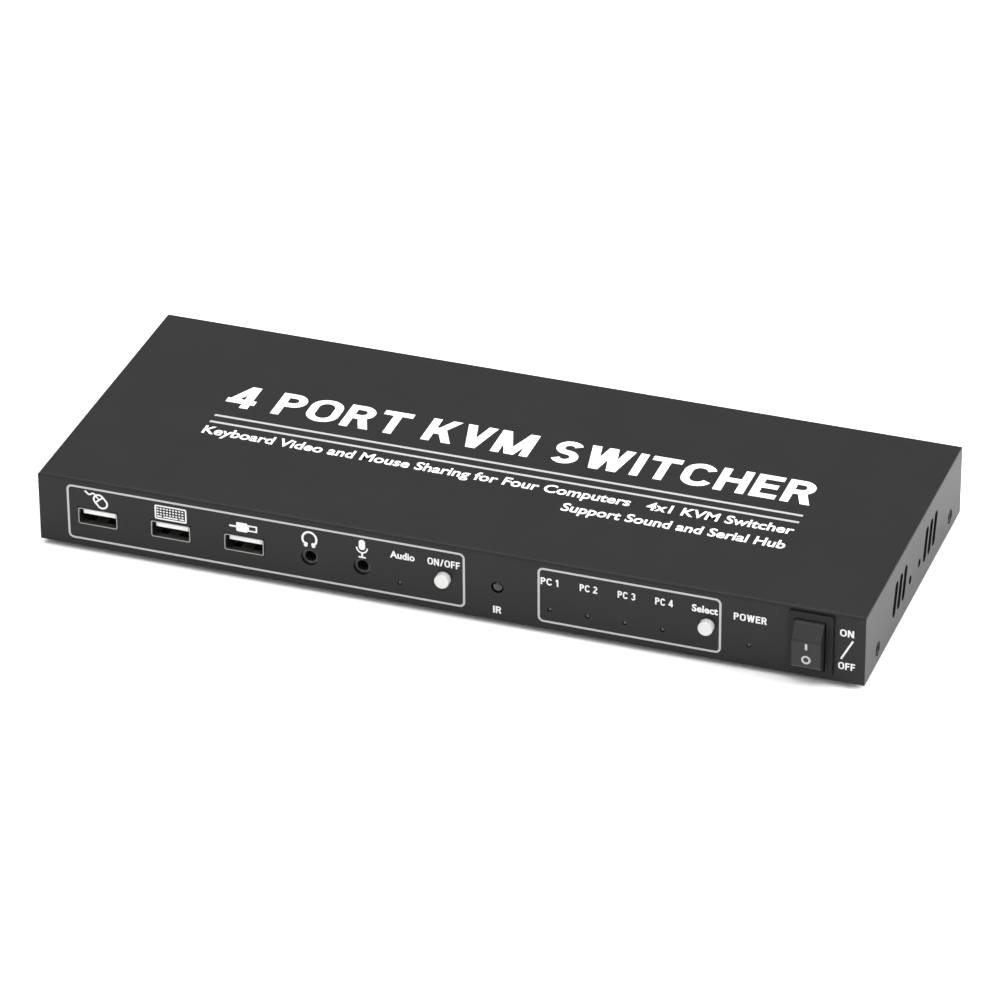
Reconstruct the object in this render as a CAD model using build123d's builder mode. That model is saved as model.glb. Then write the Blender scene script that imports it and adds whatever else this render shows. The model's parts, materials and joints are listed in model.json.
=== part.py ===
from build123d import *

import os
from math import asin, atan2, cos, radians, sin

os.makedirs("parts", exist_ok=True)

# A four-port desktop KVM switch in a flat folded-steel case. Millimetres.
# +X runs along the case, the front panel faces -Y, and Z = 0 is what the feet stand on.

# Case
case_width = 270.0
case_depth = 108.5
case_height = 24.0
sheet = 1.0
fold_radius = 0.8
seam = 0.05
foot_height = 2.0
foot_radius = 6.0
foot_inset = 15.0

# Rocker switch: a roof-shaped rocker that turns about a pin behind its bezel
bezel_width = 14.4
bezel_height = 21.0
bezel_thickness = 1.4
bezel_lip = 0.6
rocker_x = 117.9
rocker_z = 14.1
rocker_width = 9.2
rocker_side_gap = 0.3
rocker_tilt = 11.0
pin_behind_bezel = 3.0
ridge_from_pin = 7.5
ridge_above_pin = 1.9
end_from_pin = 5.5
end_half_height = 6.85
ridge_radius = 1.5
skirt_end_angle = 80.0
rocker_pin_radius = 1.2
rocker_pin_gap = 0.05
switch_body_width = 12.8
switch_body_height = 19.4
switch_body_depth = 16.0
cavity_height = 18.0
lip_opening_height = 17.3
cavity_depth = 10.0

# How far the rocker's ridge and the rear sockets stand out of the case
ridge_height = ridge_from_pin - end_from_pin
upper_slope = atan2(ridge_height, end_half_height - ridge_above_pin)
lower_slope = atan2(ridge_height, end_half_height + ridge_above_pin)
ridge_set_back = ridge_radius / cos((upper_slope + lower_slope) / 2)
ridge_lean = (lower_slope - upper_slope) / 2
ridge_centre_y = ridge_set_back * cos(ridge_lean) - ridge_from_pin
ridge_centre_z = ridge_set_back * sin(ridge_lean) + ridge_above_pin
resting_ridge_y = ridge_centre_y * cos(radians(rocker_tilt)) + ridge_centre_z * sin(radians(rocker_tilt))
ridge_reach = ridge_radius - resting_ridge_y - pin_behind_bezel
front_reach = bezel_thickness + ridge_reach
rear_reach = 1.0

# Planes of the case, with the whole object centred over the origin
front = front_reach - (front_reach + case_depth + rear_reach) / 2
back = front + case_depth
bottom = foot_height
floor = bottom + sheet
top = bottom + case_height
half_width = case_width / 2

# Board
board_thickness = 1.6
board_top = 10.0
board_half_width = 130.0
board_front_gap = 7.0
board_back_gap = 3.0
board_notch_x = 109.0
board_notch_depth = 24.0
standoff_radius = 2.75
standoff_x = 124.0
standoff_from_front = 36.0
standoff_from_back = 24.0
thread_radius = 1.4
thread_gap = 0.05

# Front panel: distances from the middle, heights above the standing surface
port_xs = [-115.1, -90.5, -65.9]
port_z = 13.0
port_width = 13.14
port_height = 5.72
port_wall = 0.3
port_depth = 13.5
port_proud = 0.2
tongue_width = 11.1
tongue_thickness = 1.84
tongue_recess = 1.6
tongue_top_gap = 0.75
jacks = {"headphone": -44.2, "microphone": -26.9}
jack_z = 12.4
jack_nose_radius = 2.7
jack_tube_radius = 2.3
jack_bore_radius = 1.8
jack_recess = 0.9
jack_bore_length = 14.0
leds = {"audio_led": -14.5, "pc_led_1": 34.5, "pc_led_2": 46.6, "pc_led_3": 58.7, "pc_led_4": 70.8,
        "power_led": 98.3}
led_z = 9.1
led_radius = 1.5
led_nose_radius = 0.7
eye_x = 17.5
eye_z = 13.7
eye_radius = 1.9
buttons = {"audio": 0.0, "select": 85.0}
button_z = 13.5
button_radius = 2.35
button_proud = 2.5
collar_radius = 3.2

# Rear panel: every channel has a video socket with a square host socket beside it
video_xs = [-112.0, -68.0, -24.0, 20.0, 72.0]
video_width = 15.0
video_height = 5.6
video_z = 12.95
host_xs = [-92.0, -48.0, -4.0, 40.0]
host_width = 12.0
host_height = 10.9
host_z = 15.6
socket_wall = 0.4
socket_depth = 12.0
inlet_x = 112.0
inlet_z = 15.6
inlet_bore_radius = 3.15
inlet_pin_radius = 1.05
inlet_nose_radius = 4.2

# The front panel is made in three lengths that meet face to face, the middle one round the audio jacks
panel_joins = [-half_width, -53.0, -19.0, half_width]

# Sides: distances behind the front panel's face
screw_spots = [(14.0, 6.9), (case_depth - 12.6, 7.2)]
ear_hole_spots = [(49.6, 10.8), (60.0, 10.8)]
ear_hole_radius = 1.4
screw_head_radius = 2.45
screw_sink = 0.35
screw_shank_radius = 1.4
slot_radius = 1.7
slot_bottom_z = 9.6
slot_top_z = 17.4
slot_lean = 2.4
slot_pitch = 5.15
slot_groups = [31.6, 66.0]
slots_in_group = 3
tab_height = 13.0
tab_spans = [(5.0, 24.0), (46.0, 64.0), (86.0, case_depth - 5.0)]


def save(piece, name):
    piece.part.label = name
    export_step(piece.part, f"parts/{name}.step")


def upright(y, x=0.0, z=0.0):
    """A plane across the case at depth y, centred on (x, z): X to the right, Z up, facing the front."""
    return Plane(origin=(x, y, z), x_dir=(1, 0, 0), z_dir=(0, -1, 0))


def sideways(x):
    """A plane along the case at distance x: Y to the right, Z up, facing +X."""
    return Plane.YZ.offset(x)


def video_outline(grow=0.0):
    """Corners of a flat hexagon, narrower at its foot: a video socket's outline, moved out by grow."""
    half = video_width / 2 + grow
    low = -video_height / 2 - grow
    return [(-half, -low), (half, -low), (half, -0.9), (half - 2.0, low), (2.0 - half, low), (-half, -0.9)]


def in_simple_solids(chassis):
    """The chassis behind its front panel, then the panel in lengths that meet at panel_joins."""
    panel_back = Plane(origin=(0, front + sheet, 0), x_dir=(-1, 0, 0), z_dir=(0, 1, 0))
    panel = split(chassis, bisect_by=panel_back, keep=Keep.BOTTOM)
    solids = list(split(chassis, bisect_by=panel_back, keep=Keep.TOP).solids())
    for left, right in zip(panel_joins, panel_joins[1:]):
        stretch = Location(((left + right) / 2, front + sheet / 2, case_height))
        solids += (panel & (stretch * Box(right - left, 2 * sheet, 2 * case_height))).solids()
    return solids


def base_chassis():
    hole_gap = 0.2
    with BuildPart() as chassis:
        with BuildSketch(Plane.XY.offset(bottom)):
            with Locations((0, (front + back) / 2)):
                Rectangle(case_width - 2 * (sheet + seam), case_depth)
        extrude(amount=sheet)
        for y in (front, back - sheet):
            with BuildSketch(upright(y)):
                with Locations((0, (bottom + top - sheet - seam) / 2)):
                    Rectangle(case_width, case_height - sheet - seam)
            extrude(amount=-sheet)
        for side in (-1, 1):
            outer = side * (half_width - sheet - seam)
            for start, end in tab_spans:
                with BuildSketch(sideways(outer)):
                    with Locations((front + (start + end) / 2, bottom + tab_height / 2)):
                        Rectangle(end - start, tab_height)
                extrude(amount=-side * sheet)
            with BuildSketch(sideways(outer)):
                with Locations(*[(front + y, z) for y, z in screw_spots]):
                    Circle(screw_shank_radius + thread_gap)
                with Locations(*[(front + y, z) for y, z in ear_hole_spots]):
                    Circle(ear_hole_radius)
            extrude(amount=-2 * side * sheet, mode=Mode.SUBTRACT)
        with BuildSketch(upright(front)):
            with Locations(*[(x, port_z) for x in port_xs]):
                Rectangle(port_width + 2 * hole_gap, port_height + 2 * hole_gap)
            with Locations(*[(x, jack_z) for x in jacks.values()]):
                Circle(jack_nose_radius + 0.1)
            with Locations(*[(x, led_z) for x in leds.values()]):
                Circle(led_nose_radius + 0.05)
            with Locations((eye_x, eye_z)):
                Circle(eye_radius + 0.1)
            with Locations(*[(x, button_z) for x in buttons.values()]):
                Circle(button_radius + hole_gap)
            with Locations((rocker_x, rocker_z)):
                Rectangle(switch_body_width + 0.1, switch_body_height + 0.1)
        extrude(amount=-sheet, mode=Mode.SUBTRACT)
        for x in video_xs:
            with BuildSketch(upright(back, x, video_z)):
                Polygon(*video_outline(hole_gap), align=None)
            extrude(amount=sheet, mode=Mode.SUBTRACT)
        with BuildSketch(upright(back)):
            with Locations(*[(x, host_z) for x in host_xs]):
                Rectangle(host_width + 2 * hole_gap, host_height + 2 * hole_gap)
            with Locations((inlet_x, inlet_z)):
                Circle(inlet_nose_radius + 0.1)
        extrude(amount=sheet, mode=Mode.SUBTRACT)
    group = Compound(in_simple_solids(chassis.part))
    group.label = "base_chassis"
    export_step(group, "parts/base_chassis.step")


def top_cover():
    with BuildPart() as cover:
        with BuildSketch(Plane.XY.offset(top)):
            with Locations((0, (front + back) / 2)):
                Rectangle(case_width, case_depth)
        extrude(amount=-sheet)
        side_depth = case_depth - 2 * (sheet + seam)
        for side in (-1, 1):
            with BuildSketch(sideways(side * half_width)):
                with Locations(((front + back) / 2, (bottom + top) / 2)):
                    Rectangle(side_depth, case_height)
            extrude(amount=-side * sheet)
        edges = cover.edges().group_by(Axis.Z)[-1]
        fillet(edges, fold_radius)
        for side in (-1, 1):
            with BuildSketch(sideways(side * half_width)):
                for group in slot_groups:
                    for i in range(slots_in_group):
                        middle = front + group + i * slot_pitch + slot_lean / 2
                        SlotCenterPoint(
                            (middle, (slot_bottom_z + slot_top_z) / 2),
                            (middle + slot_lean / 2, slot_top_z), 2 * slot_radius,
                        )
                with Locations(*[(front + y, z) for y, z in ear_hole_spots]):
                    Circle(ear_hole_radius)
            extrude(amount=-side * sheet, mode=Mode.SUBTRACT)
            for y, z in screw_spots:
                with BuildSketch(sideways(side * half_width)):
                    with Locations((front + y, z)):
                        Circle(screw_head_radius + thread_gap)
                with BuildSketch(sideways(side * (half_width - sheet))):
                    with Locations((front + y, z)):
                        Circle(screw_shank_radius + 0.25)
                loft(mode=Mode.SUBTRACT)
    save(cover, "top_cover")


def cover_screws():
    taper = (screw_head_radius - screw_shank_radius) / sheet
    head_radius = screw_head_radius - taper * screw_sink
    recess_span = 2.3
    recess_width = 0.6
    recess_depth = 0.9
    with BuildPart() as screws:
        for side in (-1, 1):
            for y, z in screw_spots:
                head = sideways(side * (half_width - screw_sink))
                with BuildSketch(head):
                    with Locations((front + y, z)):
                        Circle(head_radius)
                with BuildSketch(sideways(side * (half_width - sheet))):
                    with Locations((front + y, z)):
                        Circle(screw_shank_radius)
                loft()
                with BuildSketch(sideways(side * (half_width - sheet))):
                    with Locations((front + y, z)):
                        Circle(screw_shank_radius)
                extrude(amount=-side * 3.5)
                with BuildSketch(head):
                    with Locations((front + y, z)):
                        Rectangle(recess_span, recess_width)
                        Rectangle(recess_width, recess_span)
                extrude(amount=-side * recess_depth, mode=Mode.SUBTRACT)
    save(screws, "cover_screws")


def feet():
    names = {"foot_front_left": (-1, front + foot_inset), "foot_front_right": (1, front + foot_inset),
             "foot_back_left": (-1, back - foot_inset), "foot_back_right": (1, back - foot_inset)}
    for name, (side, y) in names.items():
        with BuildPart() as foot:
            with BuildSketch(Plane.XY):
                with Locations((side * (half_width - foot_inset), y)):
                    Circle(foot_radius)
            extrude(amount=foot_height)
            fillet(foot.edges().group_by(Axis.Z)[0], 0.7)
        save(foot, name)


def standoff_spots():
    ys = (front + standoff_from_front, back - standoff_from_back)
    return [(x, y) for x in (-standoff_x, 0, standoff_x) for y in ys]


def board_and_fixings():
    board_bottom = board_top - board_thickness
    with BuildPart() as standoffs:
        with BuildSketch(Plane.XY.offset(floor)):
            with Locations(*standoff_spots()):
                RegularPolygon(standoff_radius, 6)
                Circle(thread_radius + thread_gap, mode=Mode.SUBTRACT)
        extrude(amount=board_bottom - floor)
    save(standoffs, "board_standoffs")

    with BuildPart() as board:
        with BuildSketch(Plane.XY.offset(board_top)):
            with Locations((0, (front + board_front_gap + back - board_back_gap) / 2)):
                Rectangle(2 * board_half_width, case_depth - board_front_gap - board_back_gap)
            with Locations((board_notch_x, front)):
                Rectangle(40, board_notch_depth, align=(Align.MIN, Align.MIN), mode=Mode.SUBTRACT)
            with Locations(*standoff_spots()):
                Circle(1.6, mode=Mode.SUBTRACT)
        extrude(amount=-board_thickness)
    save(board, "main_board")

    with BuildPart() as screws:
        with BuildSketch(Plane.XY.offset(board_top)):
            with Locations(*standoff_spots()):
                Circle(2.8)
        extrude(amount=1.8)
        fillet(screws.edges().group_by(Axis.Z)[-1], 0.8)
        with BuildSketch(Plane.XY.offset(board_top)):
            with Locations(*standoff_spots()):
                Circle(thread_radius)
        extrude(amount=-5.0)
        with BuildSketch(Plane.XY.offset(board_top + 1.8)):
            with Locations(*standoff_spots()):
                Rectangle(3.2, 0.7)
                Rectangle(0.7, 3.2)
        extrude(amount=-1.0, mode=Mode.SUBTRACT)
    save(screws, "board_screws")


def front_ports():
    mouth = front - port_proud
    inner_height = port_height - 2 * port_wall
    inner_width = port_width - 2 * port_wall
    tongue_z = inner_height / 2 - tongue_top_gap - tongue_thickness / 2
    block_depth = 3.0
    block_front = mouth + port_depth - block_depth
    spring_window = (2.6, 4.6)
    window_spots = [(-3.3, 0), (3.3, 0)]
    for number, x in enumerate(port_xs, start=1):
        with BuildPart() as shell:
            with BuildSketch(upright(mouth, x, port_z)):
                RectangleRounded(port_width, port_height, 0.6)
                RectangleRounded(inner_width, inner_height, 0.35, mode=Mode.SUBTRACT)
            extrude(amount=-port_depth)
            with BuildSketch(Plane(origin=(x, mouth + 4.6, port_z))):
                with Locations(*window_spots):
                    Rectangle(*spring_window)
            extrude(amount=port_height, both=True, mode=Mode.SUBTRACT)
        save(shell, f"front_port_{number}_shell")

        with BuildPart() as tongue:
            with BuildSketch(upright(mouth + tongue_recess, x, port_z)):
                with Locations((0, tongue_z)):
                    Rectangle(tongue_width, tongue_thickness)
            extrude(amount=mouth + tongue_recess - block_front)
            chamfer(tongue.faces().sort_by(Axis.Y)[0].edges(), 0.25)
        save(tongue, f"front_port_{number}_tongue")

    with BuildPart() as blocks:
        for x in port_xs:
            with BuildSketch(upright(block_front, x, port_z)):
                RectangleRounded(inner_width - 0.1, inner_height - 0.1, 0.4)
            extrude(amount=-block_depth)
    save(blocks, "front_port_blocks")

    contact_height = 0.2
    contact_xs = [(-3.5, 0), (-1.0, 0), (1.0, 0), (3.5, 0)]
    with BuildPart() as contacts:
        for x in port_xs:
            low = port_z + tongue_z - tongue_thickness / 2
            with BuildSketch(upright(mouth + tongue_recess + 1.2, x, low - contact_height / 2)):
                with Locations(*contact_xs):
                    Rectangle(1.0, contact_height)
            extrude(amount=-7.0)
    save(contacts, "front_port_contacts")


def audio_jacks():
    nose_length = 5.8
    body_front = front + board_front_gap + 0.2
    body_height = 5.4
    for name, x in jacks.items():
        with BuildPart() as sleeve:
            with BuildSketch(upright(front + jack_recess, x, jack_z)):
                Circle(jack_nose_radius)
            extrude(amount=-nose_length)
            with BuildSketch(upright(front + jack_recess, x, jack_z)):
                Circle(jack_tube_radius)
            extrude(amount=-jack_bore_length)
            with BuildSketch(upright(front + jack_recess, x, jack_z)):
                Circle(jack_bore_radius)
            extrude(amount=-jack_bore_length, mode=Mode.SUBTRACT)
            front_circles = sleeve.edges().filter_by(GeomType.CIRCLE).group_by(Axis.Y)[0]
            mouth_edge = front_circles.sort_by(SortBy.RADIUS)[0]
            chamfer(mouth_edge, 0.2)
        save(sleeve, f"{name}_jack_sleeve")

        with BuildPart() as body:
            with BuildSketch(upright(body_front, x, board_top + 0.05 + body_height / 2)):
                Rectangle(9.0, body_height)
            extrude(amount=-11.0)
            with BuildSketch(upright(body_front, x, jack_z)):
                Circle(jack_tube_radius + 0.05)
            extrude(amount=-9.0, mode=Mode.SUBTRACT)
        save(body, f"{name}_jack_body")


def indicator_lamps():
    for name, x in leds.items():
        with BuildPart() as lamp:
            with BuildSketch(upright(front + 1.3, x, led_z)):
                Circle(led_radius)
            extrude(amount=-4.0)
            with BuildSketch(upright(front + 4.7, x, led_z)):
                Circle(led_radius + 0.3)
            extrude(amount=-0.8)
            with BuildSketch(upright(front + 0.25, x, led_z)):
                Circle(led_nose_radius)
            extrude(amount=-1.5)
            fillet(lamp.faces().sort_by(Axis.Y)[0].edges(), 0.4)
        save(lamp, name)


def infrared_eye():
    eye_front = front + 0.1
    body_front = front + 1.5
    with BuildPart() as eye:
        with BuildSketch(upright(eye_front, eye_x, eye_z)):
            Circle(eye_radius)
        extrude(amount=-3.0)
        fillet(eye.faces().sort_by(Axis.Y)[0].edges(), 1.1)
        with BuildSketch(upright(body_front, eye_x, eye_z)):
            Rectangle(6.4, 6.8)
        extrude(amount=-4.0)
    save(eye, "infrared_receiver")


def push_switches():
    body_size = 6.8
    body_front = front + board_front_gap + 0.2
    body_depth = 7.0
    stem_width = 2.6
    stem_hole = 3.0
    collar_front = front + sheet + 0.3
    stem_length = 4.0
    for name, x in buttons.items():
        with BuildPart() as body:
            with BuildSketch(upright(body_front, x, button_z)):
                Rectangle(body_size, body_size)
            extrude(amount=-body_depth)
            fillet(body.edges().filter_by(Axis.Y), 0.5)
            with BuildSketch(upright(body_front, x, button_z)):
                Rectangle(stem_hole, stem_hole)
            extrude(amount=-body_depth + 1.0, mode=Mode.SUBTRACT)
        save(body, f"{name}_switch_body")

        with BuildPart() as cap:
            with BuildSketch(upright(front - button_proud, x, button_z)):
                Circle(button_radius)
            extrude(amount=front - button_proud - collar_front)
            fillet(cap.faces().sort_by(Axis.Y)[0].edges(), 0.45)
            with BuildSketch(upright(collar_front, x, button_z)):
                Circle(collar_radius)
            extrude(amount=-1.0)
            with BuildSketch(upright(collar_front, x, button_z)):
                Rectangle(stem_width, stem_width)
            extrude(amount=collar_front - body_front - stem_length)
        save(cap, f"{name}_button")


def rocker_switch():
    bezel_front = front - bezel_thickness
    pin_y = bezel_front + pin_behind_bezel
    opening_width = rocker_width + 2 * rocker_side_gap
    with BuildPart() as housing:
        with BuildSketch(upright(bezel_front, rocker_x, rocker_z)):
            RectangleRounded(bezel_width, bezel_height, 0.9)
        extrude(amount=-bezel_thickness)
        fillet(housing.faces().sort_by(Axis.Y)[0].edges(), 0.35)
        with BuildSketch(upright(front, rocker_x, rocker_z)):
            Rectangle(switch_body_width, switch_body_height)
        extrude(amount=-switch_body_depth)
        with BuildSketch(upright(bezel_front, rocker_x, rocker_z)):
            Rectangle(opening_width, lip_opening_height)
        extrude(amount=-bezel_lip, mode=Mode.SUBTRACT)
        with BuildSketch(upright(bezel_front + bezel_lip, rocker_x, rocker_z)):
            Rectangle(opening_width, cavity_height)
        extrude(amount=bezel_lip - cavity_depth, mode=Mode.SUBTRACT)
        with BuildSketch(sideways(rocker_x)):
            with Locations((pin_y, rocker_z)):
                Circle(rocker_pin_radius + rocker_pin_gap)
        extrude(amount=switch_body_width / 2 + 1, both=True, mode=Mode.SUBTRACT)
    save(housing, "rocker_switch_housing")

    tilt = radians(rocker_tilt)
    resting = Plane(origin=(rocker_x, pin_y, rocker_z), x_dir=(0, cos(tilt), -sin(tilt)), z_dir=(1, 0, 0))
    end_radius = (end_from_pin ** 2 + end_half_height ** 2) ** 0.5
    skirt = radians(skirt_end_angle)
    skirt_y = -end_radius * cos(skirt)
    skirt_z = end_radius * sin(skirt)
    end_angle = (radians(skirt_end_angle) + asin(end_half_height / end_radius)) / 2
    mid_y = -end_radius * cos(end_angle)
    mid_z = end_radius * sin(end_angle)
    back_radius = 2.6
    with BuildPart() as rocker:
        with BuildSketch(resting):
            with BuildLine():
                Polyline((-end_from_pin, end_half_height), (-ridge_from_pin, ridge_above_pin),
                         (-end_from_pin, -end_half_height))
                ThreePointArc((-end_from_pin, -end_half_height), (mid_y, -mid_z), (skirt_y, -skirt_z))
                Line((skirt_y, -skirt_z), (0, -back_radius))
                ThreePointArc((0, -back_radius), (back_radius, 0), (0, back_radius))
                Line((0, back_radius), (skirt_y, skirt_z))
                ThreePointArc((skirt_y, skirt_z), (mid_y, mid_z), (-end_from_pin, end_half_height))
            make_face()
        extrude(amount=rocker_width / 2, both=True)
        ridge = rocker.edges().filter_by(Axis.X).sort_by(Axis.Y)[0]
        fillet(ridge, ridge_radius)
        with BuildSketch(resting):
            Circle(rocker_pin_radius)
        extrude(amount=switch_body_width / 2 - 0.3, both=True)
    save(rocker, "rocker")

    terminal_back = front + switch_body_depth
    terminal_z = 17.0
    lead_xs = (rocker_x - 3.0, rocker_x + 3.0)
    with BuildPart() as terminals:
        with BuildSketch(upright(terminal_back, 0, terminal_z)):
            with Locations(*[(x, 0) for x in lead_xs]):
                Rectangle(0.8, 4.75)
        extrude(amount=-8.0)
    save(terminals, "rocker_terminals")

    lead_radius = 0.8
    with BuildPart() as leads:
        for x in lead_xs:
            start = (x, terminal_back + 8.0 + seam, terminal_z)
            corner = (x, terminal_back + 14.0, terminal_z)
            end = (x, terminal_back + 14.0, board_top + seam)
            with BuildLine() as route:
                FilletPolyline(start, corner, end, radius=4.0)
            with BuildSketch(upright(start[1], x, terminal_z)):
                Circle(lead_radius)
            sweep(path=route.wires()[0])
    save(leads, "rocker_leads")


def video_sockets():
    mouth = back + rear_reach
    for number, x in enumerate(video_xs, start=1):
        name = f"video_port_{number}" if number < len(video_xs) else "video_out_port"
        with BuildPart() as shell:
            with BuildSketch(upright(mouth, x, video_z)):
                Polygon(*video_outline(), align=None)
            extrude(amount=socket_depth)
            with BuildSketch(upright(mouth, x, video_z)):
                Polygon(*video_outline(-socket_wall), align=None)
            extrude(amount=socket_depth, mode=Mode.SUBTRACT)
        save(shell, f"{name}_shell")

        block_depth = 3.0
        with BuildPart() as tongue:
            with BuildSketch(upright(mouth - socket_depth + block_depth, x, video_z)):
                Polygon(*video_outline(-socket_wall - 0.05), align=None)
            extrude(amount=block_depth)
            with BuildSketch(upright(mouth - 1.2, x, video_z)):
                with Locations((0, 0.3)):
                    Rectangle(11.0, 1.3)
            extrude(amount=socket_depth - block_depth - 1.2)
        save(tongue, f"{name}_tongue")


def host_sockets():
    mouth = back + rear_reach
    inner_width = host_width - 2 * socket_wall
    inner_height = host_height - 2 * socket_wall
    plug_width = 8.6
    plug_height = 7.8
    plug_depth = 9.0
    for number, x in enumerate(host_xs, start=1):
        with BuildPart() as shell:
            with BuildSketch(upright(mouth, x, host_z)):
                Rectangle(host_width, host_height)
                Rectangle(inner_width, inner_height, mode=Mode.SUBTRACT)
            extrude(amount=socket_depth)
        save(shell, f"host_port_{number}_shell")

        with BuildPart() as core:
            with BuildSketch(upright(mouth - 0.3, x, host_z)):
                Rectangle(inner_width - 0.1, inner_height - 0.1)
            extrude(amount=socket_depth - 0.3)
            with BuildSketch(upright(mouth - 0.3, x, host_z)):
                Rectangle(plug_width, plug_height)
            extrude(amount=plug_depth, mode=Mode.SUBTRACT)
            with BuildSketch(upright(mouth - 1.3, x, host_z)):
                Rectangle(5.6, 3.2)
            extrude(amount=plug_depth - 1.0)
        save(core, f"host_port_{number}_core")


def power_inlet():
    mouth = back + rear_reach
    bore_depth = 10.0
    with BuildPart() as inlet:
        with BuildSketch(upright(mouth, inlet_x, inlet_z)):
            Circle(inlet_nose_radius)
        extrude(amount=rear_reach + sheet + 0.3)
        fillet(inlet.faces().sort_by(Axis.Y)[-1].edges(), 0.4)
        with BuildSketch(upright(back - sheet - 0.2, inlet_x, inlet_z)):
            Rectangle(9.4, 11.0)
        extrude(amount=11.0)
        with BuildSketch(upright(mouth, inlet_x, inlet_z)):
            Circle(inlet_bore_radius)
        extrude(amount=bore_depth, mode=Mode.SUBTRACT)
    save(inlet, "power_inlet")

    with BuildPart() as pin:
        with BuildSketch(upright(mouth - bore_depth, inlet_x, inlet_z)):
            Circle(inlet_pin_radius)
        extrude(amount=-bore_depth + 0.8)
        fillet(pin.faces().sort_by(Axis.Y)[-1].edges(), 0.4)
    save(pin, "power_inlet_pin")


def board_components():
    main_chip = (-45.0, 4.0)
    chips = [(45.0, 2.0), (85.0, 2.0), (-95.0, 2.0)]
    with BuildPart() as circuits:
        with BuildSketch(Plane.XY.offset(board_top)):
            with Locations(main_chip):
                Rectangle(20, 20)
            with Locations(*chips):
                Rectangle(10, 10)
        extrude(amount=1.4)
    save(circuits, "switching_chips")

    sink_size = 24.0
    fin_pitch = 3.4
    with BuildPart() as sink:
        with BuildSketch(Plane.XY.offset(board_top + 1.4)):
            with Locations(main_chip):
                Rectangle(sink_size, sink_size)
        extrude(amount=1.6)
        with BuildSketch(Plane.XY.offset(board_top + 3.0)):
            with Locations(main_chip):
                with GridLocations(fin_pitch, 1, 7, 1):
                    Rectangle(1.2, sink_size)
        extrude(amount=6.0)
    save(sink, "heat_sink")

    with BuildPart() as capacitors:
        with BuildSketch(Plane.XY.offset(board_top)):
            with Locations((100.0, 22.0), (100.0, 10.0), (22.0, 20.0), (-75.0, 14.0)):
                Circle(3.15)
        extrude(amount=8.0)
        fillet(capacitors.edges().group_by(Axis.Z)[-1], 0.5)
    save(capacitors, "filter_capacitors")


base_chassis()
top_cover()
cover_screws()
feet()
board_and_fixings()
front_ports()
audio_jacks()
indicator_lamps()
infrared_eye()
push_switches()
rocker_switch()
video_sockets()
host_sockets()
power_inlet()
board_components()
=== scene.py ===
import json
import math

import bmesh
import bpy
from mathutils import Matrix, Vector


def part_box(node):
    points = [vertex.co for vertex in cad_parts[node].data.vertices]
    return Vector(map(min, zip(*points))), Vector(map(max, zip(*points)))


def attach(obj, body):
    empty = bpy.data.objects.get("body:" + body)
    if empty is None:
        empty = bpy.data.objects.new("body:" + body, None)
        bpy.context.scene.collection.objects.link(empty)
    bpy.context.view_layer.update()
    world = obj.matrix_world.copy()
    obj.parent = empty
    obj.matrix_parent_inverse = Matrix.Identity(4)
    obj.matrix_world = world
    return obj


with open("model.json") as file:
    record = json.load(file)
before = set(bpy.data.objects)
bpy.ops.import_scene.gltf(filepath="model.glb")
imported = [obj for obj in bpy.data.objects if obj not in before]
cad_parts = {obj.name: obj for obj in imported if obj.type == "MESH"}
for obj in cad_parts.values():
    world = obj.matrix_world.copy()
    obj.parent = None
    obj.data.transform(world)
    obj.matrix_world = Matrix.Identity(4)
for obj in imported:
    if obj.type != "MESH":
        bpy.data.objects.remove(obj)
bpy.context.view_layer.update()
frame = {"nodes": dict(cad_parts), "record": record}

# The case's own box, without its feet or anything that stands out of it
case_low, case_high = (Vector(corner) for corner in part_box("top_cover"))
case_centre = (case_low + case_high) / 2
case_width = case_high.x - case_low.x
front_y = case_low.y
back_y = case_high.y
top_z = case_high.z
mm = 0.001

# Thickness of the printed ink and how far its underside sits off the surface
ink = 0.02 * mm
ink_gap = 0.005 * mm


# ---------------------------------------------------------------- camera, floor and light

def aim_camera():
    azimuth, elevation, roll = (math.radians(a) for a in (19.458, 30.789, -0.389))
    distance = 6.825 * case_width
    slide_right, slide_up = -0.00194 * case_width, -0.00948 * case_width
    back = Vector((math.sin(azimuth) * math.cos(elevation), -math.cos(azimuth) * math.cos(elevation),
                   math.sin(elevation)))
    level = Vector((math.cos(azimuth), math.sin(azimuth), 0))
    upright = back.cross(level)
    right = level * math.cos(roll) + upright * math.sin(roll)
    up = upright * math.cos(roll) - level * math.sin(roll)
    place = case_centre + back * distance + right * slide_right + up * slide_up
    data = bpy.data.cameras.new("camera")
    data.sensor_width = 36.0
    data.lens = 210.4
    data.clip_end = 50.0
    camera = bpy.data.objects.new("camera", data)
    camera.matrix_world = Matrix((
        (right.x, up.x, back.x, place.x),
        (right.y, up.y, back.y, place.y),
        (right.z, up.z, back.z, place.z),
        (0, 0, 0, 1),
    ))
    bpy.context.scene.collection.objects.link(camera)
    bpy.context.scene.camera = camera


def lay_floor():
    mesh = bpy.data.meshes.new("floor")
    mesh.from_pydata([(-6, -6, 0), (6, -6, 0), (6, 6, 0), (-6, 6, 0)], [], [(0, 1, 2, 3)])
    floor = bpy.data.objects.new("floor", mesh)
    bpy.context.scene.collection.objects.link(floor)
    mat = new_material("floor_white")
    shader = mat.node_tree.nodes["Principled BSDF"]
    shader.inputs["Base Color"].default_value = (0.93, 0.93, 0.93, 1)
    shader.inputs["Roughness"].default_value = 0.9
    mesh.materials.append(mat)


def area_light(name, place, target, width, height, watts):
    data = bpy.data.lights.new(name, "AREA")
    data.shape = "RECTANGLE"
    data.size = width
    data.size_y = height
    data.energy = watts
    light = bpy.data.objects.new(name, data)
    light.location = place
    light.rotation_euler = (Vector(target) - Vector(place)).to_track_quat("-Z", "Y").to_euler()
    bpy.context.scene.collection.objects.link(light)


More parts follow.
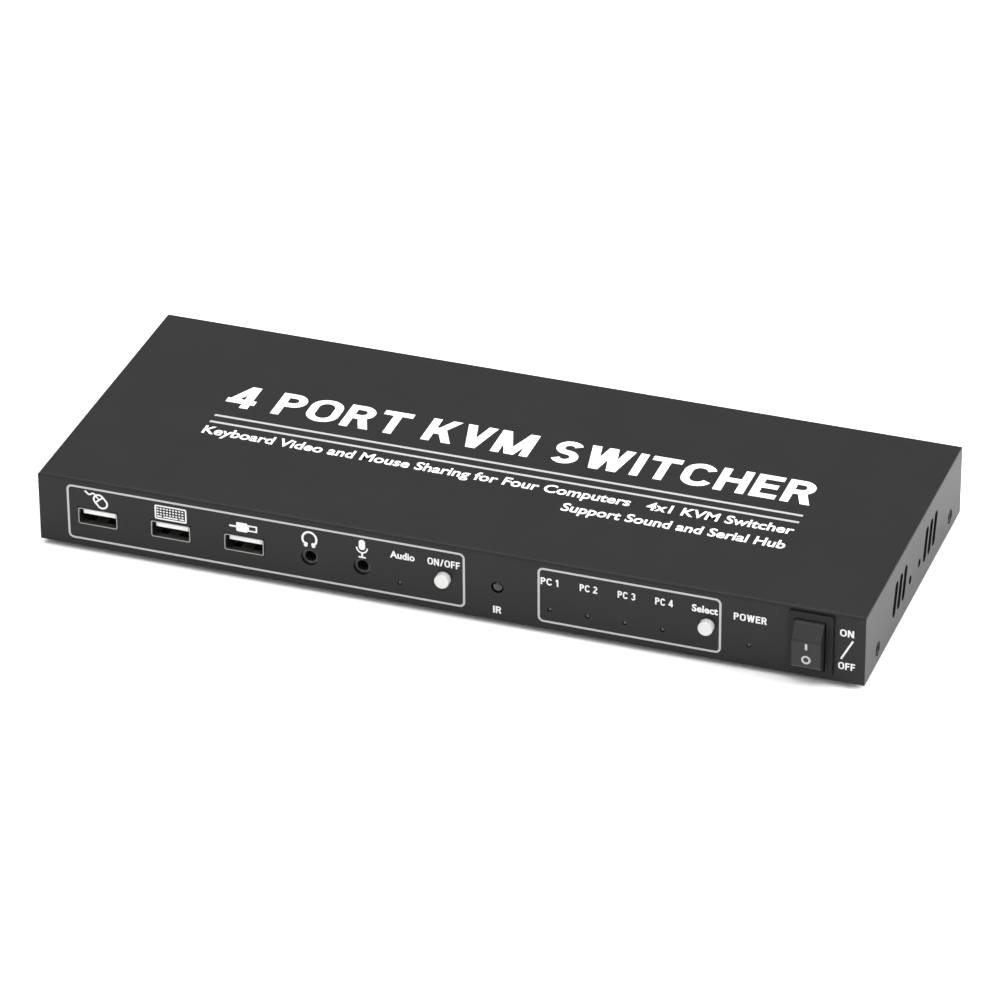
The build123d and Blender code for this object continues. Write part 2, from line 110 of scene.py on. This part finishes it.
def light_studio():
    world = bpy.data.worlds.new("studio")
    bpy.context.scene.world = world
    world.use_nodes = True
    world.node_tree.nodes["Background"].inputs["Color"].default_value = (1, 1, 1, 1)
    world.node_tree.nodes["Background"].inputs["Strength"].default_value = 0.56
    area_light("overhead_softbox", (0, 0, 3.0), (0, 0, 0), 5.0, 5.0, 185)
    area_light("right_softbox", (2.6, 0.4, 1.8), (0.15, 0, 0), 1.8, 1.8, 110)
    area_light("front_softbox", (-0.8, -2.6, 2.2), (0, -0.1, 0), 1.8, 1.8, 25)
    bpy.context.scene.view_settings.view_transform = "Standard"


# ---------------------------------------------------------------- materials

def new_material(name):
    mat = bpy.data.materials.new(name)
    mat.use_nodes = True
    return mat


def finish(name, colour, roughness, metallic=0.0, grain=0.3, depth=0.01, mottle=0.12, patch=18.0,
           roughness_spread=0.06, stretch=(1, 1, 1), specular=0.5):
    """A surface with a fine grain and a slow drift in tone. grain, depth and patch are in millimetres."""
    mat = new_material(name)
    nodes, links = mat.node_tree.nodes, mat.node_tree.links
    shader = nodes["Principled BSDF"]
    shader.inputs["Metallic"].default_value = metallic
    shader.inputs["Specular IOR Level"].default_value = specular
    place = nodes.new("ShaderNodeTexCoord")
    scale = nodes.new("ShaderNodeMapping")
    scale.inputs["Scale"].default_value = stretch
    links.new(place.outputs["Object"], scale.inputs["Vector"])

    slow = nodes.new("ShaderNodeTexNoise")
    slow.inputs["Scale"].default_value = 1 / (patch * mm)
    slow.inputs["Detail"].default_value = 4
    links.new(scale.outputs["Vector"], slow.inputs["Vector"])
    tone = nodes.new("ShaderNodeValToRGB")
    for stop, factor in zip(tone.color_ramp.elements, (1 - mottle, 1 + mottle)):
        stop.color = (*(min(1, c * factor) for c in colour), 1)
    tone.color_ramp.elements[0].position = 0.3
    tone.color_ramp.elements[1].position = 0.7
    links.new(slow.outputs["Fac"], tone.inputs["Fac"])
    links.new(tone.outputs["Color"], shader.inputs["Base Color"])

    fine = nodes.new("ShaderNodeTexNoise")
    fine.inputs["Scale"].default_value = 1 / (grain * mm)
    fine.inputs["Detail"].default_value = 3
    links.new(scale.outputs["Vector"], fine.inputs["Vector"])
    gloss = nodes.new("ShaderNodeMapRange")
    gloss.inputs["To Min"].default_value = roughness - roughness_spread
    gloss.inputs["To Max"].default_value = roughness + roughness_spread
    links.new(fine.outputs["Fac"], gloss.inputs["Value"])
    links.new(gloss.outputs["Result"], shader.inputs["Roughness"])
    bump = nodes.new("ShaderNodeBump")
    bump.inputs["Distance"].default_value = depth * mm
    links.new(fine.outputs["Fac"], bump.inputs["Height"])
    links.new(bump.outputs["Normal"], shader.inputs["Normal"])
    return mat


def make_materials():
    return {
        "case_black": finish("case_black", (0.007, 0.007, 0.0072), 0.40, grain=0.22, depth=0.004,
                             specular=0.20),
        "cover_screw_black": finish("cover_screw_black", (0.004, 0.004, 0.004), 0.5, specular=0.12),
        "screw_steel": finish("screw_steel", (0.62, 0.62, 0.63), 0.3, metallic=1.0),
        "standoff_brass": finish("standoff_brass", (0.78, 0.60, 0.30), 0.3, metallic=1.0),
        "foot_rubber": finish("foot_rubber", (0.022, 0.022, 0.022), 0.8, grain=0.5, depth=0.03),
        "board_green": finish("board_green", (0.006, 0.045, 0.02), 0.45, grain=1.2, depth=0.01),
        "socket_steel": finish("socket_steel", (0.24, 0.24, 0.235), 0.36, metallic=1.0, stretch=(1, 0.15, 1)),
        "socket_white": finish("socket_white", (0.75, 0.75, 0.73), 0.45),
        # socket_black: where it forms the blocks behind the white tongues of the front sockets, this black is
        # painted shade for the dark deep inside those sockets
        "socket_black": finish("socket_black", (0.02, 0.02, 0.02), 0.4),
        "contact_brass": finish("contact_brass", (0.85, 0.65, 0.30), 0.25, metallic=1.0),
        "jack_sleeve": finish("jack_sleeve", (0.012, 0.012, 0.012), 0.4),
        "moulding_black": finish("moulding_black", (0.02, 0.02, 0.02), 0.45),
        "led_lens": finish("led_lens", (0.03, 0.03, 0.03), 0.15, grain=1.0, depth=0.001),
        "ir_window": finish("ir_window", (0.012, 0.006, 0.008), 0.12, grain=1.0, depth=0.001),
        "button_white": finish("button_white", (0.50, 0.50, 0.49), 0.38, grain=0.4, depth=0.004, mottle=0.02),
        "bezel_black": finish("bezel_black", (0.006, 0.006, 0.006), 0.45, grain=0.35, depth=0.006,
                              specular=0.16),
        "rocker_black": finish("rocker_black", (0.010, 0.010, 0.0105), 0.42, grain=0.35, depth=0.006,
                               specular=0.26),
        "pin_steel": finish("pin_steel", (0.75, 0.75, 0.75), 0.2, metallic=1.0),
        "lead_red": finish("lead_red", (0.45, 0.015, 0.015), 0.5),
        "chip_black": finish("chip_black", (0.02, 0.02, 0.022), 0.6),
        "heat_sink_aluminium": finish("heat_sink_aluminium", (0.7, 0.7, 0.72), 0.35, metallic=1.0),
        "capacitor_aluminium": finish("capacitor_aluminium", (0.72, 0.72, 0.74), 0.3, metallic=1.0),
    }


def dress_cad_nodes(materials):
    slots = {part["node"]: part["material_slot"] for part in frame["record"]["subparts"]}
    for node, obj in frame["nodes"].items():
        obj.data.materials.clear()
        obj.data.materials.append(materials[slots[node]])


# ---------------------------------------------------------------- printing
# A face is (origin, across, up, out): printing is laid out in millimetres across and up from its origin.

front_face = (Vector((0, front_y, 0)), Vector((1, 0, 0)), Vector((0, 0, 1)), Vector((0, -1, 0)))
back_face = (Vector((0, back_y, 0)), Vector((-1, 0, 0)), Vector((0, 0, 1)), Vector((0, 1, 0)))
top_face = (Vector((0, back_y, top_z)), Vector((1, 0, 0)), Vector((0, 1, 0)), Vector((0, 0, 1)))


def lay_on(face, x, y, height):
    origin, across, up, out = face
    return origin + across * (x * mm) + up * (y * mm) + out * (ink_gap + height * ink)


def add_piece(name, mesh, mat, body):
    mesh.materials.clear()
    mesh.materials.append(mat)
    piece = bpy.data.objects.new(name, mesh)
    bpy.context.scene.collection.objects.link(piece)
    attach(piece, body)
    return piece


def words(name, text, face, left, right, low, high, mat, weight=0.03, body="housing"):
    """Lettering stretched to fill left..right by low..high, in millimetres on that face."""
    curve = bpy.data.curves.new(name, "FONT")
    curve.body = text
    curve.offset = weight
    curve.extrude = 0.5
    curve.resolution_u = 4
    holder = bpy.data.objects.new(name + "_curve", curve)
    bpy.context.scene.collection.objects.link(holder)
    bpy.context.view_layer.update()
    mesh = bpy.data.meshes.new_from_object(holder.evaluated_get(bpy.context.evaluated_depsgraph_get()))
    bpy.data.objects.remove(holder)
    bpy.data.curves.remove(curve)
    mesh.name = name
    xs = [v.co.x for v in mesh.vertices]
    ys = [v.co.y for v in mesh.vertices]
    for v in mesh.vertices:
        x = left + (v.co.x - min(xs)) / (max(xs) - min(xs)) * (right - left)
        y = low + (v.co.y - min(ys)) / (max(ys) - min(ys)) * (high - low)
        v.co = lay_on(face, x, y, v.co.z + 0.5)
    return add_piece(name, mesh, mat, body)


def raise_outlines(name, outlines, face, mat, body="housing"):
    """Thin raised shapes. Each outline is (outer ring, inner ring or None), as (across, up) points in mm.

    Neighbouring shapes end at four different levels, so strokes that cross never share a plane."""
    mesh = bpy.data.meshes.new(name)
    form = bmesh.new()
    for number, (outer, inner) in enumerate(outlines):
        level = 1 - number % 4 * 0.2
        low = [form.verts.new(lay_on(face, x, y, 0)) for x, y in outer]
        high = [form.verts.new(lay_on(face, x, y, level)) for x, y in outer]
        count = len(outer)
        steps = [(i, (i + 1) % count) for i in range(count)]
        for i, j in steps:
            form.faces.new((low[i], low[j], high[j], high[i]))
        if inner is None:
            form.faces.new(high)
            form.faces.new(low[::-1])
            continue
        inner_low = [form.verts.new(lay_on(face, x, y, 0)) for x, y in inner]
        inner_high = [form.verts.new(lay_on(face, x, y, level)) for x, y in inner]
        for i, j in steps:
            form.faces.new((high[i], high[j], inner_high[j], inner_high[i]))
            form.faces.new((low[j], low[i], inner_low[i], inner_low[j]))
            form.faces.new((inner_low[j], inner_low[i], inner_high[i], inner_high[j]))
    bmesh.ops.recalc_face_normals(form, faces=form.faces)
    form.to_mesh(mesh)
    form.free()
    return add_piece(name, mesh, mat, body)


def arc(cx, cy, radius, start, end, steps=12, squash=1.0):
    angles = [math.radians(start + (end - start) * i / steps) for i in range(steps + 1)]
    return [(cx + radius * math.cos(a), cy + radius * squash * math.sin(a)) for a in angles]


def rounded_box(left, right, low, high, radius):
    corners = ((right - radius, high - radius, 0), (left + radius, high - radius, 90),
               (left + radius, low + radius, 180), (right - radius, low + radius, 270))
    return [p for cx, cy, start in corners for p in arc(cx, cy, radius, start, start + 90, 6)]


def turned(points, degrees, cx, cy):
    a = math.radians(degrees)
    return [(cx + (x - cx) * math.cos(a) - (y - cy) * math.sin(a),
             cy + (x - cx) * math.sin(a) + (y - cy) * math.cos(a)) for x, y in points]


def stroke(points, width):
    """A ribbon of that width along the points, as one outline."""
    half = width / 2
    left, right = [], []
    for i, (x, y) in enumerate(points):
        ax, ay = points[max(i - 1, 0)]
        bx, by = points[min(i + 1, len(points) - 1)]
        length = math.hypot(bx - ax, by - ay)
        nx, ny = -(by - ay) / length * half, (bx - ax) / length * half
        left.append((x + nx, y + ny))
        right.append((x - nx, y - ny))
    return (right + left[::-1], None)


def ring(cx, cy, radius, width, squash=1.0):
    outer = arc(cx, cy, radius, 0, 360, 32, squash)[:-1]
    inner = arc(cx, cy, radius - width, 0, 360, 32, squash)[:-1]
    return (outer, inner)


def bar(left, right, low, high):
    return ([(left, low), (right, low), (right, high), (left, high)], None)


# ---------------------------------------------------------------- capitals and digits
# Each character is (width, outlines) for a height of 1, in bold strokes cut level at head and foot.

stem = 0.19


def upright_bar(left, low=0.0, high=1.0):
    return bar(left, left + stem, low, high)


def leaning_bar(foot, head, low=0.0, high=1.0, width=0.21):
    return ([(foot, low), (foot + width, low), (head + width, high), (head, high)], None)


def crossbar(right, middle, left=0.0):
    return bar(left, right, middle - stem / 2, middle + stem / 2)


def bowl(right, low, high):
    radius = (high - low - stem) / 2
    middle = (low + high) / 2
    bend = arc(right - stem / 2 - radius, middle, radius, 90, -90, 14)
    return stroke([(stem / 2, high - stem / 2), *bend, (stem / 2, low + stem / 2)], stem)


def loop(width):
    return (rounded_box(0, width, 0, 1, width * 0.48),
            rounded_box(stem, width - stem, stem * 0.9, 1 - stem * 0.9, width * 0.48 - stem * 0.9))


def characters():
    edge = 1 - stem / 2
    foot = stem / 2
    upper = (edge + 0.5) / 2
    lower = (foot + 0.5) / 2
    bend = upper - 0.5
    side = bend + stem / 2 + 0.02
    arm = 0.26
    snake = arc(side, upper, bend, 25, 270, 18) + arc(side, lower, bend, 90, -155, 18)[1:]
    horseshoe = arc(arm + foot, edge - arm, arm, 20, 180, 12) + arc(arm + foot, foot + arm, arm, 180, 340, 12)
    cup = arc(0.35, 0.35, 0.35 - foot, 180, 360, 14)
    two = arc(side, upper, bend, 160, -35, 14) + [(foot + 0.03, foot + 0.06)]
    return {
        "P": (0.62, [upright_bar(0), bowl(0.62, 0.40, 1.0)]),
        "O": (0.74, [loop(0.74)]),
        "R": (0.66, [upright_bar(0), bowl(0.62, 0.40, 1.0), leaning_bar(0.45, 0.27, 0.0, 0.5)]),
        "T": (0.66, [crossbar(0.66, edge), upright_bar(0.235)]),
        "K": (0.68, [upright_bar(0), leaning_bar(0.10, 0.45, 0.34, 1.0), leaning_bar(0.47, 0.19, 0.0, 0.62)]),
        "V": (0.68, [leaning_bar(0.235, 0.0), leaning_bar(0.235, 0.47)]),
        "M": (0.84, [upright_bar(0), upright_bar(0.65), leaning_bar(0.315, 0.0), leaning_bar(0.315, 0.63)]),
        "S": (2 * side, [stroke(snake, stem)]),
        "W": (0.98, [leaning_bar(0.185, 0.0), leaning_bar(0.185, 0.385), leaning_bar(0.585, 0.385),
                     leaning_bar(0.585, 0.77)]),
        "I": (stem, [upright_bar(0)]),
        "C": (0.68, [stroke(horseshoe, stem)]),
        "H": (0.68, [upright_bar(0), upright_bar(0.49), crossbar(0.6, 0.52, 0.1)]),
        "E": (0.58, [upright_bar(0), crossbar(0.58, edge), crossbar(0.53, 0.52), crossbar(0.58, foot)]),
        "F": (0.55, [upright_bar(0), crossbar(0.55, edge), crossbar(0.50, 0.50)]),
        "N": (0.70, [upright_bar(0), upright_bar(0.51), leaning_bar(0.49, 0.0)]),
        "U": (0.70, [stroke([(foot, 1.0), *cup, (0.70 - foot, 1.0)], stem)]),
        "1": (0.36, [upright_bar(0.17), leaning_bar(0.0, 0.10, 0.68, 1.0, 0.2)]),
        "2": (2 * side, [stroke(two, stem), crossbar(2 * side - 0.02, foot)]),
        "3": (2 * side, [stroke(arc(side, upper, bend, 155, -90, 18), stem),
                         stroke(arc(side, lower, bend, 90, -155, 18), stem)]),
        "4": (0.66, [upright_bar(0.38), crossbar(0.66, 0.29), leaning_bar(0.0, 0.36, 0.25, 1.0, 0.2)]),
        "/": (0.5, [leaning_bar(0.0, 0.31, 0.0, 1.0, 0.19)]),
        " ": (0.22, []),
    }


def capitals(name, text, face, left, right, low, high, mat):
    """Bold capitals filling left..right by low..high, in millimetres on that face."""
    known = characters()
    gap = 0.11
    length = sum(known[c][0] for c in text) + gap * (len(text) - 1)
    across = (right - left) / length
    tall = high - low
    outlines, pen = [], 0.0
    for character in text:
        width, shapes = known[character]
        for rings in shapes:
            outlines.append(tuple(
                ring and [(left + (pen + x) * across, low + y * tall) for x, y in ring] for ring in rings))
        pen += width + gap
    return raise_outlines(name, outlines, face, mat)


# ---------------------------------------------------------------- what is printed where

def print_front(ink_white, ink_grey):
    line = 0.7
    for name, left, right in (("frame_sockets", -125.4, 7.0), ("frame_channels", 30.6, 89.5)):
        outer = rounded_box(left, right, 4.3, 23.7, 1.9)
        inner = rounded_box(left + line, right - line, 4.3 + line, 23.7 - line, 1.9 - line)
        raise_outlines(name, [(outer, inner)], front_face, ink_grey)

    for name, text, left, right, middle in (("AUDIO", "Audio", -17.5, -9.4, 19.0),
                                            ("SELECT", "Select", 80.1, 88.4, 19.05)):
        words("label_" + name, text, front_face, left, right, middle - 1.3, middle + 1.3, ink_white)
    labels = (("ONOFF", "ON/OFF", -5.2, 5.4, 19.0), ("PC1", "PC 1", 31.6, 37.3, 19.05),
              ("PC2", "PC 2", 44.2, 49.9, 19.05), ("PC3", "PC 3", 56.4, 62.1, 19.05),
              ("PC4", "PC 4", 68.4, 74.1, 19.05), ("POWER", "POWER", 93.4, 103.9, 18.7),
              ("IR", "IR", 16.1, 18.8, 5.7), ("ON", "ON", 126.9, 131.3, 19.5),
              ("OFF", "OFF", 126.6, 131.9, 7.8))
    for name, text, left, right, middle in labels:
        capitals("label_" + name, text, front_face, left, right, middle - 1.25, middle + 1.25, ink_white)
    raise_outlines("label_slash", [stroke([(127.4, 10.2), (131.05, 17.1)], 0.6)], front_face, ink_white)


def print_icons(ink_white):
    # mouse: a tilted body with a button line, and a wavy lead
    body = rounded_box(-116.0, -112.0, 16.4, 22.0, 1.9)
    hollow = rounded_box(-115.4, -112.6, 17.0, 21.4, 1.35)
    tilt = [turned(points, 40, -114.0, 19.2) for points in (body, hollow)]
    split = stroke(turned([(-115.6, 19.9), (-112.4, 19.9)], 40, -114.0, 19.2), 0.5)
    middle = stroke(turned([(-114.0, 19.9), (-114.0, 21.6)], 40, -114.0, 19.2), 0.5)
    lead = stroke([(-115.5, 21.0), (-116.0, 21.7), (-116.7, 21.8), (-117.3, 21.3), (-118.0, 21.2),
                   (-118.6, 21.8), (-119.2, 22.3)], 0.6)
    raise_outlines("icon_mouse", [tuple(tilt), split, middle, lead], front_face, ink_white)

    # keyboard: a rim round four rows of keys
    keys = [(rounded_box(-95.7, -85.0, 16.7, 21.8, 0.6), rounded_box(-95.2, -85.5, 17.2, 21.3, 0.3))]
    for row in range(3):
        for column in range(9):
            left = -95.0 + column * 1.04
            low = 18.4 + row * 0.98
            keys.append(bar(left, left + 0.62, low, low + 0.5))
    keys.append(bar(-94.9, -93.3, 17.5, 18.0))
    keys.append(bar(-92.8, -87.9, 17.5, 18.0))
    keys.append(bar(-87.4, -85.8, 17.5, 18.0))
    raise_outlines("icon_keyboard", keys, front_face, ink_white)

    # plug: a lead, a grip and a hollow end
    plug = [bar(-70.7, -68.4, 18.75, 19.35),
            (rounded_box(-68.4, -64.6, 17.4, 20.7, 0.5), None),
            (rounded_box(-64.6, -61.4, 17.9, 20.2, 0.15), rounded_box(-64.1, -61.9, 18.4, 19.7, 0.1))]
    raise_outlines("icon_plug", plug, front_face, ink_white)

    # headphones: a band and two ear pads
    band = stroke(arc(-44.05, 19.1, 2.3, -40, 220, 24, 1.1), 0.7)
    pads = [(turned(rounded_box(x - 0.6, x + 0.6, 16.2, 17.9, 0.5), lean, x, 17.0), None)
            for x, lean in ((-45.3, -12), (-42.8, 12))]
    raise_outlines("icon_headphones", [band, *pads], front_face, ink_white)

    # microphone: a capsule held in a cup on a stem
    capsule = (rounded_box(-27.75, -25.65, 18.6, 22.2, 1.0), None)
    cup = stroke(arc(-26.7, 19.4, 1.75, 180, 360, 14, 1.05), 0.5)
    stem = bar(-27.0, -26.4, 15.9, 17.7)
    foot = bar(-27.9, -25.5, 15.7, 16.2)
    raise_outlines("icon_microphone", [capsule, cup, stem, foot], front_face, ink_white)


def print_top(ink_white, ink_line):
    capitals("heading", "4 PORT KVM SWITCHER", top_face, -95.7, 99.7, -50.6, -36.8, ink_white)
    for name, middle in (("line_upper", -57.2), ("line_lower", -61.4)):
        raise_outlines(name, [bar(-95.7, 99.7, middle - 0.55, middle + 0.55)], top_face, ink_line)
    words("subtitle_1", "Keyboard Video and Mouse Sharing for Four Computers   4x1 KVM Switcher", top_face,
          -95.7, 99.7, -70.5, -64.2, ink_white, weight=0.02)
    words("subtitle_2", "Support Sound and Serial Hub", top_face, 27.4, 99.7, -79.5, -73.2, ink_white,
          weight=0.02)


def print_rocker(ink_white):
    """An upright bar under the ridge and a ring near the foot of the rocker's lower face."""
    tilt = math.radians(11.0)
    ridge, rise, end, half = 7.5, 1.9, 5.5, 6.85
    pin = Vector((117.9 * mm, front_y + 1.6 * mm, 14.1 * mm))

    def at_rest(y, z):
        across_y = y * math.cos(tilt) + z * math.sin(tilt)
        along_z = z * math.cos(tilt) - y * math.sin(tilt)
        return pin + Vector((0, across_y, along_z)) * mm

    head, foot = at_rest(-ridge, rise), at_rest(-end, -half)
    up = (head - foot).normalized()
    across = Vector((1, 0, 0))
    face = (head, across, up, across.cross(up))
    raise_outlines("mark_on", [bar(-0.38, 0.38, -2.9, -0.75)], face, ink_white, "rocker")
    raise_outlines("mark_off", [ring(0, -6.5, 1.5, 0.65)], face, ink_white, "rocker")


def fit_contacts(brass):
    """Nine contacts along the tongue of each video socket behind the case."""
    tongue_end = -0.2
    tongue_height = 13.9
    for number, x in enumerate((-112.0, -68.0, -24.0, 20.0, 72.0), start=1):
        middle = Vector((x * mm, back_y, tongue_height * mm))
        tongue_top = (middle, Vector((1, 0, 0)), Vector((0, 1, 0)), Vector((0, 0, 1)))
        strips = [bar(i - 0.3, i + 0.3, tongue_end - 5.6, tongue_end - 0.3) for i in range(-4, 5)]
        raise_outlines(f"video_contacts_{number}", strips, tongue_top, brass)


def print_back(ink_white):
    """Plain captions over the sockets behind the case, read from behind."""
    low, high = 22.3, 24.4
    half_width = 2.9
    for number, middle in enumerate((-102.0, -58.0, -14.0, 30.0), start=1):
        left, right = -middle - half_width, -middle + half_width
        capitals(f"back_PC{number}", f"PC {number}", back_face, left, right, low, high, ink_white)
    capitals("back_OUT", "OUT", back_face, -75.2, -68.8, low, high, ink_white)


aim_camera()
lay_floor()
light_studio()
dress_cad_nodes(make_materials())
white = finish("print_white", (0.80, 0.80, 0.80), 0.5, grain=0.15, depth=0.003, mottle=0.03)
soft_white = finish("print_soft_white", (0.60, 0.60, 0.60), 0.5, grain=0.15, depth=0.003, mottle=0.03)
grey = finish("print_grey", (0.34, 0.34, 0.34), 0.5, grain=0.15, depth=0.003, mottle=0.03)
print_front(soft_white, grey)
print_icons(soft_white)
print_top(white, grey)
print_rocker(grey)
print_back(soft_white)
fit_contacts(finish("contact_gold", (0.85, 0.65, 0.30), 0.25, metallic=1.0))
